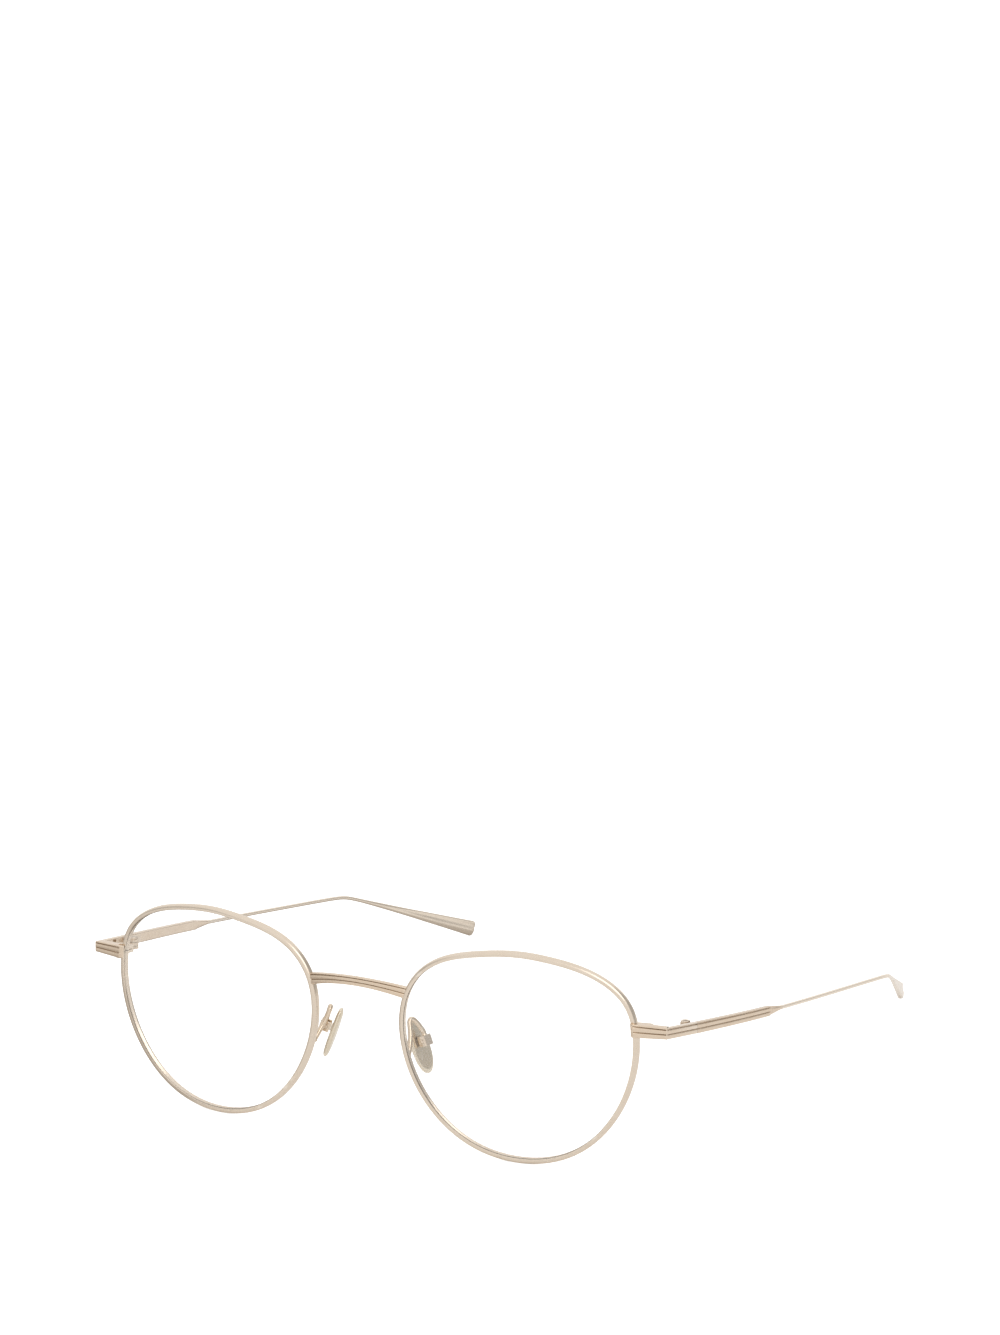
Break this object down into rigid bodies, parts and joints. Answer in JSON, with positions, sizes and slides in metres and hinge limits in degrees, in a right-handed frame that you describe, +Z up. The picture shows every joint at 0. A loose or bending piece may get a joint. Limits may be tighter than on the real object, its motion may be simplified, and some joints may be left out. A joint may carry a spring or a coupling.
{
  "type": "round eyeglasses",
  "caption": "Round wire-rimmed metal eyeglasses standing open: clear lenses, arched bridge, nose pads on wire arms, and hinged temples with flattened ear tips.",
  "frame": {"origin": "on the table, under the middle of the frame's outer box", "axes": "+X towards the wearer's left, +Y back towards the ears, +Z up"},
  "size_m": [0.1414, 0.1523, 0.0449],
  "materials": {
    "frame": "satin champagne-gold plating",
    "fitting": "satin champagne-gold plating, darker",
    "pad": "satin champagne-gold plating",
    "lens": "polished clear demonstration lens"
  },
  "bodies": {
    "front": {"bridge": "frame", "rim_left": "frame", "rim_right": "frame", "lens_left": "lens", "lens_right": "lens", "end_piece_left": "frame", "end_piece_right": "frame", "rim_lock_upper_left": "fitting", "rim_lock_upper_right": "fitting", "rim_lock_lower_left": "fitting", "rim_lock_lower_right": "fitting", "rim_screw_left": "fitting", "rim_screw_right": "fitting", "hinge_front_left": "fitting", "hinge_front_right": "fitting", "hinge_screw_left": "fitting", "hinge_screw_right": "fitting", "pad_arm_left": "frame", "pad_arm_right": "frame", "pad_box_left": "frame", "pad_box_right": "frame", "pad_screw_left": "frame", "pad_screw_right": "frame"},
    "temple_left": {"temple_left": "frame", "hinge_temple_left": "fitting"},
    "temple_right": {"temple_right": "frame", "hinge_temple_right": "fitting"},
    "pad_left": {"nose_pad_left": "pad"},
    "pad_right": {"nose_pad_right": "pad"}
  },
  "joints": [
    {"name": "temple_left_fold", "type": "hinge", "parent": "front", "child": "temple_left", "pos_m": [0.06617, -0.05642, 0.02914], "axis": [0, 0, 1], "range_deg": [0, 90]},
    {"name": "temple_right_fold", "type": "hinge", "parent": "front", "child": "temple_right", "pos_m": [-0.06617, -0.05642, 0.02914], "axis": [0, 0, 1], "range_deg": [-87.5, 0]},
    {"name": "pad_left_rock", "type": "hinge", "parent": "front", "child": "pad_left", "pos_m": [0.01176, -0.06707, 0.02143], "axis": [0.273, 0.9563, 0.1048], "range_deg": [-8, 8]},
    {"name": "pad_right_rock", "type": "hinge", "parent": "front", "child": "pad_right", "pos_m": [-0.01176, -0.06707, 0.02143], "axis": [-0.273, 0.9563, 0.1048], "range_deg": [-8, 8]}
  ]
}
